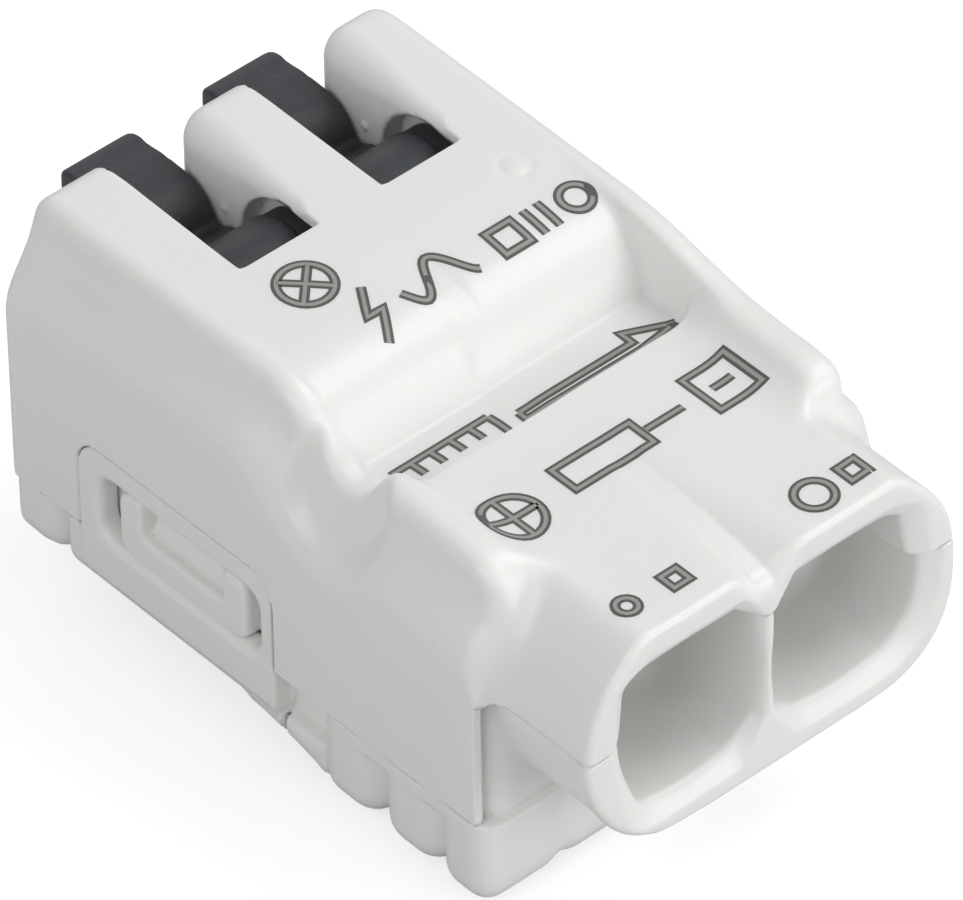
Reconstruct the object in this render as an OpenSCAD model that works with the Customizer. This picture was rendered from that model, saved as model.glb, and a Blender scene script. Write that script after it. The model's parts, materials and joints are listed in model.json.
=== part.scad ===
// Two-pole lever wire connector.
// +X runs across the two wire entries, +Y from the wire mouths to the lever tips, +Z up.
// The origin is at the centre of the object's footprint, on its underside.
// Shapes are drawn in design coordinates (y from the mouth plane, z from the
// middle of the nose) and moved to the origin by place().

/* [Housing] */
// Width across the side faces
body_w = 13.0; // [12.8:0.1:13.4]
// Mouth plane to the rear face
body_l = 20.6; // [20.4:0.1:21.0]
// Depth of the underside below the nose's middle
base_d = 6.65; // [6.4:0.05:6.8]
// Depth of the joint between the two housing halves below the nose's middle
seam_d = 3.8; // [3.7:0.05:3.9]
// Height of the hump over the lever cams
hump_h = 4.75; // [4.7:0.05:5.2]
// Height of the flat deck in front of the strip gauge
deck_h = 3.25; // [3.0:0.05:3.25]
// Height of the strip gauge groove's floor
gauge_h = 2.8; // [2.6:0.05:2.85]
// Width over the two outer fins
fins_w = 11.0; // [10.8:0.1:11.2]
// How far the nose stands out in front of the housing
nose_l = 3.4; // [3.3:0.05:3.6]
// Width of the nose
nose_w = 12.1; // [12.0:0.1:12.3]

/* [Wire entries] */
// Distance between the two wire axes
wire_pitch = 4.8; // [4.7:0.02:4.84]
// Diameter of the insulation guide bore
insulation_d = 4.2; // [3.8:0.05:4.3]
// Diameter of the bare conductor guide
conductor_d = 2.3; // [1.9:0.05:2.4]
// Depth of the wire axis below the nose's middle
wire_d = 0.3; // [0.25:0.05:0.35]

/* [Levers] */
// Distance between the two lever centres
lever_pitch = 4.58; // [4.5:0.02:4.6]
// Width of a lever slot
slot_w = 2.48; // [2.4:0.02:2.5]
// Side clearance of a lever in its slot
lever_gap = 0.08; // [0.05:0.01:0.12]
// Radius of a lever's pivot boss
boss_r = 1.4; // [1.3:0.05:1.6]
// Radius of the arched pocket a pivot boss turns in
pocket_r = 1.75; // [1.7:0.05:1.8]
// Reach of the cam arm to the centre of its rounded tip
cam_r = 4.3; // [4.1:0.1:4.4]
// Mouth plane to the lever tip
lever_tip = 22.2; // [22.0:0.1:22.6]

/* [Clamps] */
// Thickness of the spring strip
spring_t = 0.35; // [0.25:0.05:0.4]
// Thickness of the current bar
bar_t = 0.8; // [0.6:0.05:0.8]

/* [Hidden] */

sides = [-1, 1];            // left and right; half a width times this is its X range
overlap = 0.01;             // how far joined shapes run into each other
part_gap = 0.02;            // gap between pieces that rest against each other
half_body = body_w / 2;
half_fins = fins_w / 2;
half_nose = nose_w / 2;
half_slot = slot_w / 2;
wire_x = wire_pitch / 2;
lever_x = lever_pitch / 2;
below_seam = -seam_d - 1;   // where cuts through the upper housing's underside start

nose_up = 3.25;             // nose top above its middle
nose_down = 3.5;            // nose bottom below its middle
nose_top_r = 2.9;           // upper corner radius
nose_bottom_r = 2.3;        // lower corner radius

hump_front = 12.3;          // front end of the hump's flat top
fin_r = 0.85;               // rounding along the fins' top edges
heel_d = 5.85;              // depth of the raised rear of the underside

// Pedestal of the lower housing, behind its half of the nose
half_pedestal = 5.7;
pedestal_back = 6.05;
pedestal_gap = 0.05;

// Latch tongues of the lower housing
tongue_t = 0.7;
tongue_y = [10.8, 18.0];
tongue_top = -0.84;
tongue_end_gap = 0.1;       // clearance in the upper housing, front and rear

// Spring chambers
chamber_x = [0.45, 5.2];    // inner and outer wall of the right one
chamber_y = [9.6, 19.4];
chamber_roof = 1.36;
chamber_floor = -5.0;       // in the lower housing

// Lever pivot and cam arms
pivot_y = 16.2;
pivot_z = 2.7;
half_pocket = half_slot + 0.55;     // pivot pockets, from the lever's centre
half_lever = half_slot - lever_gap; // also the inner face of a cam arm
arm_outer = half_pocket - 0.07;

// Current bar
half_bar = 5.1;
bar_top = chamber_roof - 0.01;
bar_under = bar_top - bar_t;
bar_support = bar_under - part_gap;

white = [0.93, 0.93, 0.91];
dark = [0.24, 0.25, 0.27];
steel = [0.75, 0.76, 0.78];
tin = [0.80, 0.79, 0.76];

// ---- helpers
// Points on a cubic curve, ends included.
function bezier(start, pull1, pull2, end, steps) = [for (i = [0:steps])
    let (t = i / steps, u = 1 - t)
    u*u*u * start + 3*u*u*t * pull1 + 3*u*t*t * pull2 + t*t*t * end];
// Points on an arc between two angles, ends included.
function arc(centre, r, from, to, steps) = [for (i = [0:steps])
    let (a = from + (to - from) * i / steps)
    centre + r * [cos(a), sin(a)]];
function around(middle, half) = [middle - half, middle + half];

// Ranges x, y and z are [start, end]; an X range may run either way.
module place() { translate([0, -lever_tip / 2, base_d]) children(); }
// A (y, z) outline spread along X.
module along_x(x) {
    translate([min(x), 0, 0]) rotate([90, 0, 90]) linear_extrude(abs(x[1] - x[0])) children();
}
// An (x, z) outline spread along Y.
module along_y(y) {
    translate([0, y[1], 0]) rotate([90, 0, 0]) linear_extrude(y[1] - y[0]) children();
}
module block(x, y, z) {
    translate([min(x), y[0], z[0]]) cube([abs(x[1] - x[0]), y[1] - y[0], z[1] - z[0]]);
}
module rod_x(x, y, z, r, fn = 48) {
    translate([min(x), y, z]) rotate([0, 90, 0]) cylinder(r = r, h = abs(x[1] - x[0]), $fn = fn);
}
// The polygon whose right half runs upwards through these points.
module symmetric(right) {
    polygon(concat(right, [for (i = [len(right)-1:-1:0]) [-right[i].x, right[i].y]]));
}

// ---- nose: a racetrack tube with two mouths
mouth_end = 3.0;            // back of the wide mouth
guide_end = 8.1;            // back of the insulation guide
funnel_end = 8.9;           // back of the taper to the conductor guide

module nose_outline() {
    symmetric(concat(
        arc([half_nose - nose_bottom_r, -nose_down + nose_bottom_r], nose_bottom_r, 270, 360, 8),
        arc([half_nose - nose_top_r, nose_up - nose_top_r], nose_top_r, 0, 90, 9)));
}
// One half of the nose; z is the range kept.
module half_nose_tube(back, z) {
    intersection() {
        along_y([0, back]) nose_outline();
        block(half_body * sides, [-1, nose_l + 2], z);
    }
}
// The right mouth, (x, z).
module mouth_outline() {
    polygon(concat([[0.22, -1.7], [1.15, -2.52], [3.6, -2.52]],
        arc([3.6, -0.97], 1.55, -70, 0, 6),
        arc([3.6, 0.45], 1.55, 0, 90, 7),
        [[0.85, 2.0], [0.22, 1.42]]));
}
// A bore on the right wire axis.
module wire_bore(y0, y1, front_d, back_d) {
    translate([wire_x, y0 - overlap, -wire_d]) rotate([-90, 0, 0])
        cylinder(r1 = front_d / 2, r2 = back_d / 2, h = y1 - y0 + overlap, $fn = 64);
}
module mouths() {
    for (m = [0, 1]) mirror([m, 0, 0]) {
        along_y([-1, mouth_end]) mouth_outline();
        wire_bore(mouth_end, guide_end, insulation_d, insulation_d);
        wire_bore(guide_end, funnel_end, insulation_d, conductor_d);
        wire_bore(funnel_end, chamber_y[0] + 0.1, conductor_d, conductor_d);
    }
}
// The shallow valley in the nose's top between the two wire bulges.
module valley() {
    // half width, depth at the mouth plane, length
    for (cut = [[0.45, 0.83, 3.3], [0.7, 0.5, 2.6]])
        along_x(cut[0] * sides) polygon([[-1, nose_up + 1], [-1, nose_up - cut[1]],
            [cut[2], nose_up + 0.01], [cut[2], nose_up + 1]]);
}

// ---- upper housing
// Side view above the seam, (y, z), from the rear over the hump to the front.
side_outline = concat(
    [[body_l, -seam_d], [body_l, 2.2]],
    bezier([body_l, 2.2], [body_l, 3.6], [body_l - 0.15, hump_h - 0.15],
        [body_l - 1.5, hump_h - 0.12], 8),
    [[hump_front, hump_h]],
    bezier([hump_front, hump_h], [10.9, hump_h], [10.1, hump_h - 1.1], [9.55, gauge_h], 9),
    [[7.8, gauge_h], [7.7, deck_h], [nose_l + 0.6, deck_h]],
    bezier([nose_l + 0.6, deck_h], [nose_l + 0.2, deck_h], [nose_l, deck_h - 0.3],
        [nose_l, deck_h - 0.8], 4),
    [[nose_l, -seam_d]]);
// Right half of the cross-section, (x, z).
half_cross = concat(
    [[half_body, below_seam], [half_body, 1.5]],
    bezier([half_body, 1.5], [half_body, 2.6], [half_fins + 0.45, 2.7],
        [half_fins + 0.2, 3.5], 7),
    bezier([half_fins + 0.2, 3.5], [half_fins + 0.1, 3.7], [half_fins, 3.75],
        [half_fins, 3.9], 3),
    arc([half_fins - fin_r, hump_h - fin_r], fin_r, 0, 90, 6));
gauge_end_foot = 1.6;       // bottom of the gauge's end pieces, inside the shell

// Right end of the strip gauge: a ramp from the hump down to the nose.
module gauge_ramp() {
    along_x([half_fins - fin_r, half_fins + 0.1]) polygon(concat(
        [[nose_l + 0.1, gauge_end_foot], [nose_l + 0.1, deck_h + 0.1]],
        bezier([nose_l + 0.6, deck_h + 0.55], [6, deck_h + 0.65], [8.5, hump_h - 0.3],
            [hump_front, hump_h - 0.1], 8),
        [[hump_front, gauge_end_foot]]));
}
// Left end: only a low rim on the deck's side, so the groove runs out over the edge.
module gauge_rim() {
    along_x([-half_fins - 0.1, -half_fins + 0.7]) polygon(concat(
        [[nose_l + 0.1, gauge_end_foot], [nose_l + 0.1, deck_h + 0.1],
         [nose_l + 0.6, deck_h + 0.5]],
        arc([7.3, deck_h - 0.2], 0.8, 90, 0, 6),
        [[8.1, gauge_end_foot]]));
}
module upper_shell() {
    intersection() {
        along_x(half_body * sides) polygon(side_outline);
        along_y([0, body_l + 1]) symmetric(half_cross);
    }
    gauge_ramp();
    gauge_rim();
    half_nose_tube(nose_l + 0.8, [0, 5]);
}
// Everything a lever needs inside the upper housing, about the lever's centre.
module lever_room() {
    block(half_slot * sides, [15.02, body_l + 1], [1.25, 6]);
    rod_x(half_slot * sides, pivot_y, pivot_z, 1.6);
    rod_x(half_pocket * sides, pivot_y, pivot_z, pocket_r);
    block(half_pocket * sides, around(pivot_y, pocket_r), [below_seam, pivot_z]);
    // swing of the cam arms
    for (s = sides) intersection() {
        rod_x(s * [half_lever - 0.08, half_pocket], pivot_y, pivot_z, cam_r + 0.6, 64);
        block(3 * sides, [pivot_y - cam_r - 1, pivot_y], [below_seam, 3.85]);
    }
}
module upper_cuts() {
    mouths();
    valley();
    // room for the lower half of the nose and its pedestal
    block((half_pedestal + pedestal_gap) * sides, [0, pedestal_back + pedestal_gap],
        [below_seam, 0]);
    for (s = sides) {
        translate([s * lever_x, 0, 0]) lever_room();
        // spring chamber, with a lower roof at its rear
        block(s * chamber_x, [chamber_y[0], 17.93], [below_seam, chamber_roof]);
        block(s * chamber_x, [17.9, chamber_y[1]], [below_seam, 0.3]);
        // seat for the lower housing's latch tongue
        block(s * [half_body - 0.75, half_body + 1],
            tongue_y + tongue_end_gap * sides, [below_seam, tongue_top + 0.09]);
    }
    // the current bar crosses the wall between the two chambers
    block(0.5 * sides, [chamber_y[0], 11.3], [0.5, chamber_roof]);
}
// Catch noses that hold the latch tongues.
module catches() {
    for (s = sides) difference() {
        block(s * [half_body - 0.8, half_body - 0.15], [11.9, 16.6], [-3.5, -1.8]);
        block(s * [half_body - 0.45, half_body], [12.75, 15.75], [-2.8, -1.7]);
    }
}
module upper_housing() {
    color(white) place() {
        difference() {
            upper_shell();
            upper_cuts();
        }
        catches();
    }
}

// ---- lower housing
// Round bumps along the edges, right side: x, y, radius, depth of the foot.
bumps = [
    [half_body - 1.18, 6.03, 1.13, base_d],
    [half_body - 1.18, 8.27, 1.13, base_d],
    [half_body - 1.3, 4.1, 1.25, base_d],
    [4.5, 4.1, 1.05, base_d],
    [2.6, 3.85, 1.15, base_d],
    [1.0, 3.85, 1.15, base_d],
    [half_body - 1.0, 19.6, 0.95, heel_d],
    [1.1, 19.5, 0.95, heel_d],
    [3.25, 19.5, 0.95, heel_d]];
taper_h = 0.9;              // tapered foot of a bump
floor_back = body_l - 0.4;

module bump(x, y, r, foot_d) {
    translate([x, y, -foot_d]) cylinder(r1 = r - 0.35, r2 = r, h = taper_h, $fn = 32);
    translate([x, y, -foot_d + taper_h - overlap])
        cylinder(r = r, h = foot_d - seam_d - taper_h + overlap, $fn = 32);
}
// A tongue with its window, and the block at its root.
module latch_tongue(s) {
    difference() {
        block(s * [half_body - tongue_t, half_body], tongue_y, [-5.2, tongue_top]);
        block(s * [half_body - 1, half_body + 1], [11.35, 17.2], [-3.6, -1.65]);
    }
    block(s * [half_body - 1.5, half_body - 0.1], [tongue_y[0], 18.4],
        [-heel_d + 0.15, -seam_d - part_gap]);
}
module lower_shell() {
    // floor, flat under the front and raised towards the heel
    along_x((half_body - 0.68) * sides) polygon([[3.9, -seam_d], [3.9, -base_d],
        [9.3, -base_d], [10.4, -base_d + 0.5], [12.6, -heel_d],
        [floor_back, -heel_d], [floor_back, -seam_d]]);
    for (s = sides) {
        for (b = bumps) bump(s * b[0], b[1], b[2], b[3]);
        latch_tongue(s);
    }
    // pedestal and the lower half of the nose
    block(half_pedestal * sides, [nose_l - 0.1, pedestal_back], [-seam_d - overlap, 0]);
    half_nose_tube(nose_l - part_gap, [-5, 0]);
}
module lower_housing() {
    color(white) place() {
        difference() {
            lower_shell();
            mouths();
            block(chamber_x[1] * sides, chamber_y, [chamber_floor, 0]);
        }
        // posts that hold the current bar up against the upper housing
        for (s = sides)
            block(s * [4.4, half_bar], [9.75, 11.1], [chamber_floor - overlap, bar_support]);
        // wall between the two spring chambers
        block(0.42 * sides, [11.5, chamber_y[1] - 0.1],
            [chamber_floor - overlap, -seam_d - part_gap]);
    }
}

// ---- levers
cam_tip_r = 0.42;
cam_lift = 8;               // degrees a cam arm points up when the lever is shut
// Handle side view, (y, z), from the pivot along the top to the tip and back below.
handle_outline = concat(
    [[pivot_y + 0.9, pivot_z + 0.95], [17.62, 3.02]],
    bezier([17.62, 3.02], [17.95, 2.66], [18.3, 2.62], [18.58, 2.7], 5),
    [[18.66, 3.0]],
    bezier([18.66, 3.0], [18.75, 3.4], [19.0, 3.5], [19.5, 3.5], 4),
    [[lever_tip - 1.0, 3.46]],
    bezier([lever_tip - 1.0, 3.46], [lever_tip - 0.35, 3.4], [lever_tip, 3.15],
        [lever_tip, 2.6], 5),
    bezier([lever_tip, 2.6], [lever_tip - 0.05, 2.0], [lever_tip - 0.4, 1.6],
        [lever_tip - 0.9, 1.58], 5),
    [[lever_tip - 1.4, 1.8], [19.0, 1.72], [17.4, 1.66], [pivot_y, pivot_z - 0.9]]);

// A cam arm pointing forward from the pivot.
module cam_arm(s) {
    x = s * [half_lever - 0.05, arm_outer];
    translate([0, pivot_y, pivot_z]) rotate([-cam_lift, 0, 0]) {
        rod_x(x, -cam_r, 0, cam_tip_r, 32);
        along_x(x) polygon([[0, 1.0], [-1.3, 0.55], [-cam_r, cam_tip_r],
            [-cam_r, -cam_tip_r], [-1.3, -0.9], [0, -1.5]]);
    }
}
module lever(x) {
    color(dark) place() translate([x, 0, 0]) difference() {
        union() {
            rod_x(half_lever * sides, pivot_y, pivot_z, 1.45);
            along_x(half_lever * sides) polygon(handle_outline);
            for (s = sides) {
                rod_x(s * [half_lever - overlap, arm_outer], pivot_y, pivot_z, boss_r);
                cam_arm(s);
            }
        }
        // grooves across the thumb pad's front step and its top near the tip
        rod_x(2 * sides, 18.28, 2.78, 0.12, 16);
        rod_x(2 * sides, lever_tip - 1.15, 3.62, 0.22, 16);
    }
}
module lever_left() { lever(-lever_x); }
module lever_right() { lever(lever_x); }

// ---- clamp springs: a fixed leg on the floor, a bend, and a clamping leg under the bar
half_spring = 1.7;
bend_r = 1.9;
bend = [12.4, chamber_floor + bend_r + spring_t / 2 + part_gap]; // centre, (y, z)
leg_slope = 40;             // slope of the clamping leg
leg_start = bend + bend_r * [-sin(leg_slope), cos(leg_slope)];
tip_z = bar_support - spring_t * 0.7;
ear_z = -0.2;               // where the ears leave the clamping leg

// The clamping leg's point (y, z) at height z.
function on_leg(z) = [leg_start.x + (z - leg_start.y) / tan(leg_slope), z];
// A strip of the spring's thickness along the points.
module strip(points) {
    last = len(points) - 1;
    offsets = [for (i = [0:last])
        let (v = points[min(i + 1, last)] - points[max(i - 1, 0)])
        spring_t / 2 * [-v.y, v.x] / norm(v)];
    polygon(concat([for (i = [0:last]) points[i] + offsets[i]],
                   [for (i = [last:-1:0]) points[i] - offsets[i]]));
}
module clamp_spring(x) {
    color(steel) place() translate([x, 0, 0]) {
        // fixed leg and bend, full width
        along_x(half_spring * sides) strip(concat([[17.2, bend.y - bend_r]],
            arc(bend, bend_r, 270, 90 + leg_slope, 14), [on_leg(ear_z)]));
        // clamping edge, between the cam arms
        along_x(1.08 * sides) strip([on_leg(ear_z - 0.4), on_leg(tip_z)]);
        // ears that the cam arms press
        for (s = sides) along_x(s * [1.18, half_spring])
            strip(concat([on_leg(ear_z - 0.3)],
                bezier(on_leg(ear_z), on_leg(ear_z) + [0.3, 0.2],
                    [14, ear_z + 0.15], [15.9, ear_z - 0.05], 6)));
    }
}
module clamp_spring_left() { clamp_spring(-lever_x); }
module clamp_spring_right() { clamp_spring(lever_x); }

// ---- current bar: a cross strip with one contact tongue per pole
module contact_tongue(x) {
    block(x, [11.1, 14.4], [bar_under, bar_top]);
    // contact ridge that bites on the conductor
    intersection() {
        rod_x(x, 14.0, bar_under + 0.12, 0.2, 24);
        block(6 * sides, [12, 15], [bar_under - 0.2, bar_top]);
    }
}
module current_bar() {
    color(tin) place() difference() {
        union() {
            block(half_bar * sides, [chamber_y[0] + 0.03, 11.2], [bar_under, bar_top]);
            for (s = sides) contact_tongue(around(s * lever_x, 1.1));
        }
        // locating notch between the poles
        block(0.3 * sides, [chamber_y[0], chamber_y[0] + 0.4], [0, 2]);
    }
}

upper_housing();
lower_housing();
lever_left();
lever_right();
clamp_spring_left();
clamp_spring_right();
current_bar();
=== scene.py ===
# A two-pole lever connector for wires: a white housing in two halves, two dark grey levers,
# two clamp springs and a current bar. x runs across (left is -x), the wire entries face the
# front at -y, and z is up. Shapes are distance fields (negative inside) in design
# coordinates: mm, with y from the mouth plane and z from the nose's middle.
import json
import math
from functools import reduce
from itertools import product

import bmesh
import bpy
import numpy as np
from mathutils import Matrix, Vector


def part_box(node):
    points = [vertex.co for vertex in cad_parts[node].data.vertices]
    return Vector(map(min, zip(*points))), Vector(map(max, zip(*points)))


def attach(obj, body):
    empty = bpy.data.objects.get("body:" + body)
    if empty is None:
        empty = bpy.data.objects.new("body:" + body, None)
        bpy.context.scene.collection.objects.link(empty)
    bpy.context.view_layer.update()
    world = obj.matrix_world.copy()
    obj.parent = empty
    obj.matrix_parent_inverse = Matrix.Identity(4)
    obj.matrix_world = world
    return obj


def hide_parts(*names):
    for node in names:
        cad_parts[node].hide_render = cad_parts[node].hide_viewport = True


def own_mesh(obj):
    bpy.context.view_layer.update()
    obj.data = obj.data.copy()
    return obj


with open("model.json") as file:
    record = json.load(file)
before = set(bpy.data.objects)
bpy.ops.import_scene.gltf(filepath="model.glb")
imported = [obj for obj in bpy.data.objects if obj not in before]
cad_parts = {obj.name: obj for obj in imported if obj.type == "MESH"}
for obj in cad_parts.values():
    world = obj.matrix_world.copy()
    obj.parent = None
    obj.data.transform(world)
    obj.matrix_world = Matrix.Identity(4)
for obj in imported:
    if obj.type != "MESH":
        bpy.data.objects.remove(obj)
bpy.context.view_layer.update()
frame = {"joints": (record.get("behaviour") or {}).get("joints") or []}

BODY = "housing"
HALF_WIDTH = 6.5
SEAM = -3.78            # where the two housing halves meet
BASE = -6.65            # underside of the housing
SPLIT = 0.15            # where the nose parts into an upper and a lower half
FRONT_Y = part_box("upper_housing")[0].y * 1000
MIDDLE_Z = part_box("lower_housing")[0].z * 1000 - BASE
HINGE = next(j["pos_m"] for j in frame["joints"] if j["name"] == "lever_left_hinge")
LEVER_X = abs(HINGE[0]) * 1000
PIVOT_Y = HINGE[1] * 1000 - FRONT_Y
PIVOT_Z = HINGE[2] * 1000 - MIDDLE_Z
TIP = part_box("lever_left")[1].y * 1000 - FRONT_Y
SIDES = (("left", -LEVER_X), ("right", LEVER_X))

WIRE = (2.4, -0.3)      # (|x|, z) of each wire bore's axis
BORE = 2.1              # its radius
SLOT_HALF = 1.24        # half width of a lever slot
LEVER_HALF = 1.16       # half width of a lever
ARM_OFFSET = 1.42       # a cam arm's middle from its lever's middle
ARM_LENGTH = 4.3
ARM_TIP = 0.42          # radius of a cam arm's end
LATCH_Y = 14.4          # middle of the latch tongues and their seats


def to_metres(points):
    return (np.asarray(points, float) + (0, FRONT_Y, MIDDLE_Z)) / 1000


# ------------------------------------------------------------------ distance fields
# The last argument of blend, trim and carve is the width of the soft edge, that of
# round_trim and the boxes a radius.
def blend(a, b, width):
    """Smooth union."""
    h = np.clip(0.5 + 0.5 * (b - a) / width, 0, 1)
    return b + (a - b) * h - width * h * (1 - h)


def trim(a, b, width):
    """Smooth intersection."""
    return -blend(-a, -b, width)


def carve(body, tool, width):
    return trim(body, -tool, width)


def round_trim(a, b, radius):
    """Intersection with a true round edge."""
    u, v = np.maximum(a + radius, 0), np.maximum(b + radius, 0)
    return np.minimum(np.maximum(a, b), -radius) + np.sqrt(u * u + v * v)


def meet(*fields):
    """Sharp intersection."""
    return reduce(np.maximum, fields)


def ramp(start, end, value):
    """Smooth step from 0 at start to 1 at end."""
    t = np.clip((value - start) / (end - start), 0, 1)
    return t * t * (3 - 2 * t)


def slab(value, centre, half):
    return np.abs(value - centre) - half


def distance(u, v, centre):
    return np.sqrt((u - centre[0]) ** 2 + (v - centre[1]) ** 2)


def rounded(offsets, radius):
    outside = np.sqrt(sum(np.maximum(d, 0) ** 2 for d in offsets))
    return np.minimum(meet(*offsets), 0) + outside - radius


def box2(u, v, centre, half, radius=0.0):
    return rounded([slab(p, c, h) + radius for p, c, h in zip((u, v), centre, half)], radius)


def box3(x, y, z, low, high, radius):
    return rounded([slab(p, (a + b) / 2, (b - a) / 2 - radius)
                    for p, a, b in zip((x, y, z), low, high)], radius)


def polygon(u, v, points):
    """Signed distance to a closed polygon."""
    nearest, inside = np.inf, False
    for i, (u0, v0) in enumerate(points):
        u1, v1 = points[i - 1]
        edge_u, edge_v = u1 - u0, v1 - v0
        du, dv = u - u0, v - v0
        t = np.clip((du * edge_u + dv * edge_v) / (edge_u * edge_u + edge_v * edge_v), 0, 1)
        nearest = np.minimum(nearest, (du - edge_u * t) ** 2 + (dv - edge_v * t) ** 2)
        above, below, left = v >= v0, v < v1, (edge_u * dv) > (edge_v * du)
        inside = inside ^ ((above & below & left) | (~above & ~below & ~left))
    return np.where(inside, -1.0, 1.0).astype(np.float32) * np.sqrt(nearest)


class Profile:
    """An outline's distance on a fine grid, softened so that its curves shade smoothly."""
    step = 0.03

    def __init__(self, points, low, high, soft=0.06):
        self.low = low
        self.size = [int((b - a) / self.step) + 2 for a, b in zip(low, high)]
        u, v = [(a + self.step * np.arange(n)).astype(np.float32)
                for a, n in zip(low, self.size)]
        grid = polygon(u[:, None], v[None, :], points)
        reach = int(math.ceil(3 * soft / self.step))
        weights = np.exp(-0.5 * (np.arange(-reach, reach + 1) * self.step / soft) ** 2)
        weights /= weights.sum()
        for _ in range(2):      # blurs along one axis, then turned, along the other
            pad = np.pad(grid, ((reach, reach), (0, 0)), mode="edge")
            rows = len(grid)
            grid = sum(w * pad[i:i + rows] for i, w in enumerate(weights)).T
        self.grid = grid.astype(np.float32)

    def __call__(self, u, v):
        a = np.clip((u - self.low[0]) / self.step, 0, self.size[0] - 1.001)
        b = np.clip((v - self.low[1]) / self.step, 0, self.size[1] - 1.001)
        i, j = a.astype(np.int32), b.astype(np.int32)
        a, b = a - i, b - j
        g = self.grid
        return ((g[i, j] * (1 - a) + g[i + 1, j] * a) * (1 - b)
                + (g[i, j + 1] * (1 - a) + g[i + 1, j + 1] * a) * b)


def curve(points, steps=6):
    """Catmull-Rom through the points, ends kept."""
    p = [np.array(q, float) for q in points]
    p = [2 * p[0] - p[1]] + p + [2 * p[-1] - p[-2]]
    out = []
    for a, b, c, d in zip(p, p[1:], p[2:], p[3:]):
        for k in range(steps):
            t = k / steps
            out.append(tuple(0.5 * (2 * b + (c - a) * t + (2 * a - 5 * b + 4 * c - d) * t * t
                                    + (3 * b - a - 3 * c + d) * t ** 3)))
    out.append(tuple(p[-2]))
    return out


# ------------------------------------------------------------------ outlines
# Side outlines, (y, z). The left one has the groove's run-out, the right a closed ramp.
SIDE_VIEW = ((-1.5, -7.0), (22.0, 6.0))
REAR = [(21.1, -9), (21.1, 2.6), (20.8, 3.5), (20.62, 4.15), (20.46, 4.54), (20.18, 4.77),
        (19.8, 4.87), (19.2, 4.88)]
TOP_LEFT = Profile(REAR + curve([
    (12.6, 4.76), (11.5, 4.72), (10.75, 4.45), (10.3, 4.0), (9.95, 3.45), (9.55, 3.02),
    (9.1, 2.8), (8.7, 2.8), (8.42, 3.0), (8.18, 3.4), (7.9, 3.76), (7.5, 3.9), (6.9, 3.9),
    (5.8, 3.84), (4.8, 3.76), (4.1, 3.62), (3.62, 3.25), (3.36, 2.6)], 8)
    + [(3.3, 1.5), (3.3, -9)], *SIDE_VIEW)
TOP_RIGHT = Profile(REAR + curve([
    (12.6, 4.76), (11.4, 4.74), (10.2, 4.66), (9.2, 4.5), (8.2, 4.27), (7.2, 4.07),
    (6.2, 3.95), (5.2, 3.9), (4.4, 3.88), (3.8, 3.78), (3.45, 3.5), (3.3, 2.9)], 8)
    + [(3.28, 1.5), (3.28, -9)], *SIDE_VIEW)
# the middle, with groove and deck
MIDDLE = Profile([(24, -9), (24, 5.8), (15.0, 5.7)] + curve([
    (13.9, 5.2), (12.8, 4.86), (11.9, 4.73), (11.1, 4.55), (10.45, 4.2), (9.95, 3.7),
    (9.6, 3.15), (9.42, 2.8)], 8)
    + [(7.76, 2.8), (7.72, 3.25), (-5, 3.25), (-5, -9)], *SIDE_VIEW)
SHOULDER_REAR = [(24, -9), (24, 2.3), (21.2, 2.75), (20.4, 3.0), (19.6, 3.2), (18.6, 3.36)]
SHOULDER_LEFT = Profile(SHOULDER_REAR + curve([
    (16.5, 3.6), (13.5, 3.8), (12.0, 3.75), (11.2, 3.4), (10.6, 2.85), (10.05, 2.3),
    (9.5, 1.9), (8.9, 1.75), (8.3, 1.85), (7.75, 2.2), (7.2, 2.5), (6.4, 2.62), (5.4, 2.55),
    (4.5, 2.45), (3.9, 2.35), (3.3, 2.25)], 8)
    + [(-1, 2.0), (-1, -9)], *SIDE_VIEW)
SHOULDER_RIGHT = Profile(SHOULDER_REAR + curve([
    (16.5, 3.6), (13.5, 3.75), (12.0, 3.68), (10.5, 3.45), (9.0, 3.1), (7.6, 2.8),
    (6.4, 2.62), (5.4, 2.55), (4.6, 2.5), (3.95, 2.44), (3.3, 2.36)], 8)
    + [(-1, 2.1), (-1, -9)], *SIDE_VIEW)
UNDERSIDE = Profile([
    (2.0, BASE), (9.0, BASE), (9.6, -6.35), (10.4, -6.15), (11.4, -5.96), (12.6, -5.84),
    (14.0, -5.8), (21.5, -5.8), (21.5, 6), (2.0, 6)], *SIDE_VIEW, soft=0.15)

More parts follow.
